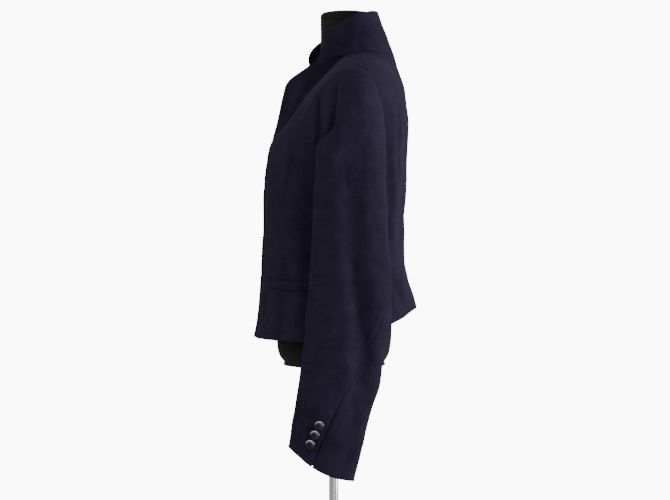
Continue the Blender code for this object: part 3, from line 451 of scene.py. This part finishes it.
def cloth_corners():
    """All corners of the cloth solids, and the piece that each one belongs to."""
    owners = [(name, vert.co) for name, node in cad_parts.items()
              if name.startswith(CLOTH_NAMES) for vert in node.data.vertices]
    tree = KDTree(len(owners))
    for index, (name, place) in enumerate(owners):
        tree.insert(place, index)
    tree.balance()
    return tree, [name for name, place in owners]


def close_seams(bm, push):
    """Moves the cut edges of a wall out into its seams, so that sewn pieces meet.

    Where three pieces meet, they lap further, so that no hole is left between them."""
    tree, owners = CORNERS
    pushes = {}
    for face in bm.faces:
        if len(face.edges) != QUAD_SIDES:
            continue
        sharp = [sharp_edge(edge) for edge in face.edges]
        if (sharp[0] and sharp[2]) or (sharp[1] and sharp[3]):
            for vert in face.verts:
                pushes.setdefault(vert, []).append(face.normal.copy())
    for vert, normals in pushes.items():
        way = sum(normals, Vector()) / len(normals)
        near = {owners[index] for place, index, distance in tree.find_range(vert.co, CORNER_REACH)}
        reach = CORNER_PUSH if len(near) > 2 else push
        vert.co += way / max(way.length_squared, LEAST_SQUARE) * reach


CORNERS = cloth_corners()


def subdivided(mesh, levels):
    """A smoothed copy of a mesh, with its sharp edges kept."""
    rough = link(mesh.name + "_rough", mesh)
    surface = rough.modifiers.new("fine", "SUBSURF")
    surface.levels = levels
    surface.render_levels = levels
    surface.boundary_smooth = "PRESERVE_CORNERS"
    graph = bpy.context.evaluated_depsgraph_get()
    found = bpy.data.meshes.new_from_object(rough.evaluated_get(graph))
    bpy.data.objects.remove(rough)
    return found


def read_places(mesh):
    """A row of x, y and z for each vertex, in metres."""
    places = np.empty(len(mesh.vertices) * 3)
    mesh.vertices.foreach_get("co", places)
    return places.reshape(-1, 3)


def fine_mesh(node, name, levels, seam=0.0):
    """A finer copy of a node's form: its quads found again, then smoothed through its own points."""
    bm = bmesh.new()
    bm.from_mesh(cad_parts[node].data)
    bmesh.ops.remove_doubles(bm, verts=bm.verts, dist=MERGE)
    bmesh.ops.join_triangles(bm, faces=bm.faces, angle_face_threshold=math.radians(QUAD_FACE_ANGLE),
                             angle_shape_threshold=math.radians(QUAD_SHAPE_ANGLE), cmp_seam=False,
                             cmp_sharp=False, cmp_uvs=False, cmp_vcols=False, cmp_materials=False)
    if seam:
        close_seams(bm, seam)
    layer = bm.edges.layers.float.new("crease_edge")
    for edge in bm.edges:
        if sharp_edge(edge):
            edge[layer] = EDGE_CREASE
    mesh = bpy.data.meshes.new(name)
    bm.to_mesh(mesh)
    bm.free()
    wanted = read_places(mesh)
    held = wanted.copy()
    for _ in range(FIT_ROUNDS):
        reached = read_places(subdivided(mesh, FIT_LEVELS))[:len(wanted)]
        held += wanted - reached
        mesh.vertices.foreach_set("co", held.ravel())
        mesh.update()
    found = subdivided(mesh, levels)
    found.name = name
    found.shade_smooth()
    found.set_sharp_from_angle(angle=math.radians(SHARP_ANGLE))
    return found


def add_weave_map(mesh, middle_x, middle_y):
    """A map whose U runs round the piece and whose V runs up it, both in metres."""
    places = read_places(mesh)
    centre = places.mean(axis=0)
    home = math.atan2(centre[1] - middle_y, centre[0] - middle_x)
    angle = np.arctan2(places[:, 1] - middle_y, places[:, 0] - middle_x) - home
    angle = (angle + math.pi) % math.tau - math.pi
    reach = np.hypot(places[:, 0] - middle_x, places[:, 1] - middle_y).mean()
    corners = np.empty(len(mesh.loops), dtype=np.int32)
    mesh.loops.foreach_get("vertex_index", corners)
    while mesh.uv_layers:
        mesh.uv_layers.remove(mesh.uv_layers[0])
    layer = mesh.uv_layers.new(name="weave")
    flat = np.stack([angle[corners] * reach, places[corners, 2]], axis=1)
    layer.data.foreach_set("uv", flat.ravel())


def cloth_piece(node, name, finish, push, seed, levels, middle):
    """The creased shell that stands for a cloth solid, with its weave map and its painted shade and
    highlight.
    """
    seam = SEAM_PUSH
    if push is sleeve_push:
        seam = SLEEVE_SEAM_PUSH
    if node == "collar":
        seam = COLLAR_SEAM_PUSH
    mesh = fine_mesh(node, name, levels, seam=seam)
    points = read_places(mesh) / MM
    way, swell, pull, painted_tone = push(points, seed)
    points = points + way * ((swell - pull) * armhole_fade(points))[:, None]
    mesh.vertices.foreach_set("co", (points * MM).ravel())
    # Painted shade and highlight: the wool's colour is darkened in crease troughs and lightened on
    # ridges, plus the tone-only tables
    painted_light = mesh.attributes.new("painted_light", "FLOAT", "POINT")
    painted_light.data.foreach_set("value", np.clip(-pull * PAINTED_CREASE_TONE, PAINTED_DARKEST, PAINTED_LIGHTEST) + painted_tone)
    add_weave_map(mesh, middle[0] * MM, middle[1] * MM)
    mesh.materials.clear()
    mesh.materials.append(finish)
    mesh.update()
    piece = link(name, mesh)
    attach(piece, "root")
    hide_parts(node)
    return piece


class Value:
    """A shader socket that can be added, multiplied and so on."""

    def __init__(self, tree, socket):
        self.tree = tree
        self.socket = socket

    def math(self, operation, first, second=None):
        node = self.tree.nodes.new("ShaderNodeMath")
        node.operation = operation
        for slot, item in zip(node.inputs, (first, second)):
            if isinstance(item, Value):
                self.tree.links.new(item.socket, slot)
            elif item is not None:
                slot.default_value = item
        return Value(self.tree, node.outputs[0])

    def __add__(self, other):
        return self.math("ADD", self, other)

    def __radd__(self, other):
        return self.math("ADD", other, self)

    def __sub__(self, other):
        return self.math("SUBTRACT", self, other)

    def __rsub__(self, other):
        return self.math("SUBTRACT", other, self)

    def __mul__(self, other):
        return self.math("MULTIPLY", self, other)

    def __rmul__(self, other):
        return self.math("MULTIPLY", other, self)

    def sine(self):
        return self.math("SINE", self)

    def clipped(self):
        node = self.math("ADD", self, 0.0)
        node.socket.node.use_clamp = True
        return node


class Finish:
    """A material with its Principled shader, and short ways to add nodes."""

    def __init__(self, name, roughness, metallic=0.0):
        self.material = bpy.data.materials.new(name)
        self.material.use_nodes = True
        self.tree = self.material.node_tree
        self.shader = self.tree.nodes["Principled BSDF"]
        self.shader.inputs["Roughness"].default_value = roughness
        self.shader.inputs["Metallic"].default_value = metallic

    def node(self, kind, output=0, settings=None, **inputs):
        made = self.tree.nodes.new("ShaderNode" + kind)
        for key, item in (settings or {}).items():
            setattr(made, key, item)
        for key, item in inputs.items():
            slot = made.inputs[key]
            if isinstance(item, Value):
                self.tree.links.new(item.socket, slot)
            else:
                slot.default_value = item
        return Value(self.tree, made.outputs[output])

    def noise(self, place, scale, detail=2.0, roughness=0.5):
        return self.node("TexNoise", Vector=place, Scale=scale, Detail=detail, Roughness=roughness)

    def stretched(self, place, scale):
        return self.node("Mapping", Vector=place, Scale=scale)

    def mixed(self, share, first, second):
        made = self.tree.nodes.new("ShaderNodeMix")
        made.data_type = "RGBA"
        self.tree.links.new(share.socket, made.inputs["Factor"])
        for slot, item in ((made.inputs[MIX_FIRST], first), (made.inputs[MIX_SECOND], second)):
            if isinstance(item, Value):
                self.tree.links.new(item.socket, slot)
            else:
                slot.default_value = (*item, 1.0)
        return Value(self.tree, made.outputs[MIX_RESULT])

    def feed(self, key, value):
        self.tree.links.new(value.socket, self.shader.inputs[key])

    def bump(self, height, strength, distance):
        found = self.node("Bump", Height=height, Strength=strength, Distance=distance)
        self.feed("Normal", found)


def wool_finish():
    """Fine plain weave with thick and thin places in both its threads, and painted shade and
    highlight.
    """
    wool = Finish("navy_wool", WOOL_ROUGHNESS)
    place = wool.node("UVMap", settings={"uv_map": "weave"})
    solid = wool.node("TexCoord", output=OBJECT_PLACE)
    across = wool.node("SeparateXYZ", output=AXIS_X, Vector=place)
    up = wool.node("SeparateXYZ", output=AXIS_Y, Vector=place)
    warp = wool.noise(wool.stretched(place, WARP_SCALE), 1.0)
    weft = wool.noise(wool.stretched(place, WEFT_SCALE), 1.0)
    cloud = wool.noise(solid, WOOL_CLOUD_SCALE, CLOUD_DETAIL)
    weave = (across * THREADS).sine() * (up * THREADS).sine()
    slub = (warp * HALF + weft * HALF - HALF) * SLUB_TONE
    painted_light = wool.node("Attribute", output=ATTRIBUTE_VALUE, settings={"attribute_name": "painted_light"})
    # The weave's own tone, plus the painted shade and highlight read above
    share = PLAIN_TONE + slub + (cloud - HALF) * WOOL_CLOUD_TONE + weave * WEAVE_TONE + painted_light
    weave_and_painted_light = wool.mixed(share.clipped(), WOOL_DARK, WOOL_LIGHT)
    # Painted highlight: a paler wool colour mixed in along ridges and pressed folds
    painted_highlight = ((painted_light - PAINTED_HIGHLIGHT_FROM) * PAINTED_HIGHLIGHT_TONE).clipped()
    wool.feed("Base Color", wool.mixed(painted_highlight, weave_and_painted_light, WOOL_PAINTED_HIGHLIGHT))
    wool.feed("Roughness", (FUZZ_LEAST + cloud * FUZZ_CLOUD).clipped())
    wool.bump(weave * WEAVE_HEIGHT + slub * SLUB_HEIGHT, *WOOL_BUMP)
    wool.shader.inputs["Sheen Weight"].default_value = WOOL_SHEEN
    wool.shader.inputs["Sheen Roughness"].default_value = WOOL_SHEEN_ROUGHNESS
    wool.shader.inputs["Sheen Tint"].default_value = WOOL_SHEEN_TINT
    wool.shader.inputs["Specular IOR Level"].default_value = WOOL_SPECULAR
    return wool.material


def jersey_finish():
    """Dark knitted cover of the form."""
    jersey = Finish("form_jersey", JERSEY_ROUGHNESS)
    solid = jersey.node("TexCoord", output=OBJECT_PLACE)
    x = jersey.node("SeparateXYZ", output=AXIS_X, Vector=solid)
    z = jersey.node("SeparateXYZ", output=AXIS_Z, Vector=solid)
    cloud = jersey.noise(solid, JERSEY_CLOUD_SCALE, CLOUD_DETAIL)
    knit = (z * KNIT).sine() * (x * KNIT).sine()
    share = (cloud * JERSEY_CLOUD_TONE + knit * KNIT_TONE).clipped()
    jersey.feed("Base Color", jersey.mixed(share, JERSEY_DARK, JERSEY_LIGHT))
    jersey.bump(knit + cloud, *JERSEY_BUMP)
    jersey.shader.inputs["Specular IOR Level"].default_value = JERSEY_SPECULAR
    return jersey.material


def enamel_finish(name, roughness, specular):
    """Black paint with a slightly uneven shine."""
    enamel = Finish(name, roughness)
    solid = enamel.node("TexCoord", output=OBJECT_PLACE)
    cloud = enamel.noise(solid, ENAMEL_CLOUD_SCALE, ENAMEL_CLOUD_DETAIL)
    enamel.feed("Base Color", enamel.mixed(cloud, ENAMEL_DARK, ENAMEL_LIGHT))
    enamel.feed("Roughness", (roughness + cloud * ENAMEL_WEAR).clipped())
    enamel.shader.inputs["Specular IOR Level"].default_value = specular
    enamel.bump(enamel.noise(solid, ENAMEL_GRAIN_SCALE), *ENAMEL_BUMP)
    return enamel.material


def chrome_finish():
    """Bright metal with fine streaks along the pole."""
    chrome = Finish("pole_chrome", CHROME_ROUGHNESS, 1.0)
    solid = chrome.node("TexCoord", output=OBJECT_PLACE)
    streak = chrome.noise(chrome.stretched(solid, STREAK_SCALE), 1.0)
    chrome.feed("Base Color", chrome.mixed(streak, CHROME_DARK, CHROME_LIGHT))
    chrome.feed("Roughness", (CHROME_SMOOTHEST + streak * CHROME_STREAK).clipped())
    return chrome.material


def button_finish():
    """Dark metal, with a painted highlight on the upper part of its edge, which is also smoother
    there.
    """
    metal = Finish("button_metal", BUTTON_ROUGHNESS, BUTTON_METALLIC)
    painted_tone = metal.node("Attribute", output=ATTRIBUTE_VALUE, settings={"attribute_name": "rim"})
    solid = metal.node("TexCoord", output=OBJECT_PLACE)
    grain = metal.noise(solid, BUTTON_GRAIN_SCALE, CLOUD_DETAIL)
    highlight_and_grain = (painted_tone + (grain - HALF) * BUTTON_GRAIN_TONE).clipped()
    metal.feed("Base Color", metal.mixed(highlight_and_grain, BUTTON_DARK, BUTTON_PAINTED_HIGHLIGHT))
    metal.feed("Roughness", (BUTTON_DULLEST - highlight_and_grain * BUTTON_POLISH).clipped())
    metal.bump(grain, *BUTTON_BUMP)
    return metal.material


wool = wool_finish()
jersey = jersey_finish()
enamel = enamel_finish("black_enamel", ENAMEL_ROUGHNESS, ENAMEL_SPECULAR)
cap_black = enamel_finish("cap_black", CAP_ROUGHNESS, CAP_SPECULAR)
chrome = chrome_finish()
button_metal = button_finish()

# Jacket: each pattern's sides, how it is creased and divided, its width, length and area in metres
# before sewing, and how it is held
Pattern = namedtuple("Pattern", "name sides push levels width length area held")
SIDES = ("left", "right")
PATTERNS = [
    Pattern("front", SIDES, body_push, FINE_LEVELS, 0.27, 0.43, 0.088, "draped"),
    Pattern("back", SIDES, body_push, CLOTH_LEVELS, 0.21, 0.40, 0.067, "draped"),
    Pattern("peplum_front", SIDES, body_push, FINE_LEVELS, 0.27, 0.10, 0.0235, "draped"),
    Pattern("peplum_back", SIDES, body_push, FINE_LEVELS, 0.22, 0.105, 0.0187, "draped"),
    Pattern("collar", ("",), body_push, FINE_LEVELS, 0.36, 0.075, 0.0215, "draped"),
    Pattern("upper_sleeve", SIDES, sleeve_push, FINE_LEVELS, 0.18, 0.64, 0.0865, "hung"),
    Pattern("under_sleeve", SIDES, sleeve_push, FINE_LEVELS, 0.16, 0.56, 0.0675, "hung"),
    Pattern("pocket_welt", SIDES, body_push, CLOTH_LEVELS, 0.078, 0.013, 0.001, "draped"),
]
BODY_MIDDLE = (0.0, 12.0)
SLEEVE_MIDDLES = {"left": (204.0, 20.0), "right": (-204.0, 20.0)}
SLEEVE_SEEDS = {"left": LEFT_SLEEVE_SEED, "right": RIGHT_SLEEVE_SEED}


def sewn_pieces():
    """Each pattern with each of its sides, and the node that it is cut for."""
    for pattern in PATTERNS:
        for side in pattern.sides:
            yield pattern, side, pattern.name + ("_" + side if side else "")


for pattern, side, node in sewn_pieces():
    middle = BODY_MIDDLE
    seed = BODY_SEED
    if pattern.push is sleeve_push:
        middle = SLEEVE_MIDDLES[side]
        seed = SLEEVE_SEEDS[side]
    cloth_piece(node, "cloth_" + node, wool, pattern.push, seed, pattern.levels, middle)

# Dress form and stand
form = link("form_body", fine_mesh("dress_form", "form_body", CLOTH_LEVELS))
form.data.materials.clear()
form.data.materials.append(jersey)
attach(form, "root")
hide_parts("dress_form")


def turned(name, profile, finish, node, steps=STAND_STEPS, place=None, way=None):
    """A round piece turned from pairs of radius and height in mm.

    A button is also given a place and the way that it faces, and a painted highlight on its upper
    edge."""
    bm = bmesh.new()
    line = [bm.verts.new((r * MM, 0, h * MM)) for r, h in profile]
    edges = [bm.edges.new(pair) for pair in zip(line, line[1:])]
    bmesh.ops.spin(bm, geom=line + edges, cent=(0, 0, 0), axis=(0, 0, 1), angle=math.tau, steps=steps,
                   use_merge=True)
    bmesh.ops.remove_doubles(bm, verts=bm.verts, dist=TURNED_MERGE)
    bmesh.ops.recalc_face_normals(bm, faces=bm.faces)
    mesh = bpy.data.meshes.new(name)
    bm.to_mesh(mesh)
    bm.free()
    if place is not None:
        # Painted highlight: only the upper part of the button's edge is made bright
        highlight = smoothstep(*HIGHLIGHT_RADII, np.hypot(*read_places(mesh).T[:2]) / MM)
        mesh.transform(Vector((0, 0, 1)).rotation_difference(way).to_matrix().to_4x4())
        mesh.transform(Matrix.Translation(place))
        highlight *= smoothstep(*HIGHLIGHT_RISE, (read_places(mesh)[:, 2] - place.z) / MM)
        mesh.attributes.new("rim", "FLOAT", "POINT").data.foreach_set("value", highlight)
    mesh.shade_smooth()
    mesh.set_sharp_from_angle(angle=math.radians(TURNED_SHARP_ANGLE))
    mesh.materials.append(finish)
    piece = link(name, mesh)
    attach(piece, "root")
    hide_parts(node)
    return piece


def foot_and_top(node):
    """Lowest and highest point of a node, in mm."""
    lowest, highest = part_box(node)
    return lowest.z / MM, highest.z / MM


top = foot_and_top("stand_base")[1]
turned("base_plate", [(0, 0), (BASE_RADIUS - 1, 0), (BASE_RADIUS, 1), (BASE_RADIUS, top - 4),
                      (BASE_RADIUS - 1.5, top - 1.2), (BASE_RADIUS - 5, top), (40, top), (0, top)],
       enamel, "stand_base", steps=BASE_STEPS)
foot, top = foot_and_top("stand_pole")
turned("pole_tube", [(0, foot), (POLE_RADIUS, foot), (POLE_RADIUS, top), (0, top)], chrome,
       "stand_pole")
foot, top = foot_and_top("form_flange")
turned("flange_plate", [(0, foot), (FLANGE_RADIUS - 1, foot), (FLANGE_RADIUS, foot + 1),
                        (FLANGE_RADIUS, top - 1), (FLANGE_RADIUS - 1, top), (0, top)],
       enamel, "form_flange")
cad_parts["neck_cap"].material_slots[0].material = cap_black

# Cuff buttons, each on its solid's seat and facing out from the sleeve
for side in SIDES:
    for number in BUTTON_NUMBERS:
        node = "cuff_button_%s_%d" % (side, number)
        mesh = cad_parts[node].data
        centre = sum((v.co for v in mesh.vertices), Vector()) / len(mesh.vertices)
        way = Vector()
        for face in mesh.polygons:
            if face.normal.dot(Vector((centre.x, 0, 0))) > 0:
                way += face.normal * face.area
        way.normalize()
        back = min(v.co.dot(way) for v in mesh.vertices)
        seat = centre + way * (back - centre.dot(way))
        turned("button_%s_%d" % (side, number), BUTTON_PROFILE, button_metal, node,
               steps=BUTTON_STEPS, place=seat, way=way)

for pattern, side, node in sewn_pieces():
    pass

# Floor
FLOOR_RADIUS = 3.6
FLOOR_SEGMENTS = 96
FLOOR_ROUGHNESS = 0.9
FLOOR_SCALE = 3.0
FLOOR_DARK = (0.80, 0.80, 0.80)
FLOOR_LIGHT = (0.84, 0.84, 0.84)
bm = bmesh.new()
bmesh.ops.create_circle(bm, cap_ends=True, segments=FLOOR_SEGMENTS, radius=FLOOR_RADIUS)
floor_mesh = bpy.data.meshes.new("floor")
bm.to_mesh(floor_mesh)
bm.free()
floor = link("floor", floor_mesh)
pale = Finish("floor_pale", FLOOR_ROUGHNESS)
ground = pale.node("TexCoord", output=OBJECT_PLACE)
pale.feed("Base Color", pale.mixed(pale.noise(ground, FLOOR_SCALE), FLOOR_DARK, FLOOR_LIGHT))
floor_mesh.materials.append(pale.material)

# Camera
camera_data = bpy.data.cameras.new("camera")
camera_data.sensor_width = SENSOR
camera_data.lens = SENSOR * CAMERA_DISTANCE / FRAME_WIDTH
camera = link("camera", camera_data)
camera.location = (CAMERA_DISTANCE, CAMERA_Y, CAMERA_Z)
camera.rotation_euler = (math.pi / 2, 0, math.pi / 2)
scene.camera = camera

# Light: a surround that looks white, gives little light and is brighter overhead where it is
# mirrored, and four soft lamps, the strongest behind
SURROUND_LIGHT = 0.36
SURROUND_WHITE = 10.0
OVERHEAD = 3.0
OVERHEAD_FROM = 0.35
OVERHEAD_FULL = 0.8
world = bpy.data.worlds.new("surround")
world.use_nodes = True
scene.world = world
sky = world.node_tree


def ramp(source, from_min, from_max, to_min, to_max):
    """A socket that goes from one value to another as the source crosses its range."""
    made = sky.nodes.new("ShaderNodeMapRange")
    for key, item in (("Value", source), ("From Min", from_min), ("From Max", from_max),
                      ("To Min", to_min), ("To Max", to_max)):
        if isinstance(item, bpy.types.NodeSocket):
            sky.links.new(item, made.inputs[key])
        else:
            made.inputs[key].default_value = item
    return made.outputs["Result"]


rays = sky.nodes.new("ShaderNodeLightPath")
way_up = sky.nodes.new("ShaderNodeSeparateXYZ")
sky.links.new(sky.nodes.new("ShaderNodeTexCoord").outputs["Generated"], way_up.inputs[0])
mirrored = ramp(way_up.outputs["Z"], OVERHEAD_FROM, OVERHEAD_FULL, SURROUND_LIGHT, OVERHEAD)
lit = ramp(rays.outputs["Is Glossy Ray"], 0.0, 1.0, SURROUND_LIGHT, mirrored)
strength = ramp(rays.outputs["Is Camera Ray"], 0.0, 1.0, lit, SURROUND_WHITE)
sky.links.new(strength, sky.nodes["Background"].inputs["Strength"])
sky.nodes["Background"].inputs["Color"].default_value = (1.0, 1.0, 1.0, 1.0)

# Lamps: place, what they aim at and size in metres, and power in watts
Lamp = namedtuple("Lamp", "name place target size power")
LAMPS = [
    Lamp("lamp_back", (0.55, 2.7, 1.0), (0.1, 0.05, 1.1), 1.3, 76.0),
    Lamp("lamp_side", (3.2, 0.7, 1.1), (0.1, 0.0, 1.1), 1.4, 22.0),
    Lamp("lamp_front", (0.3, -2.6, 1.9), (0.0, 0.0, 1.2), 1.2, 14.0),
    Lamp("lamp_small", (1.5, 0.5, 3.0), (0.2, 0.0, 0.85), 0.42, 11.0),
]
for lamp in LAMPS:
    data = bpy.data.lights.new(lamp.name, "AREA")
    data.size = lamp.size
    data.energy = lamp.power
    light = link(lamp.name, data)
    light.location = lamp.place
    aim = Vector(lamp.target) - Vector(lamp.place)
    light.rotation_euler = aim.to_track_quat("-Z", "Y").to_euler()
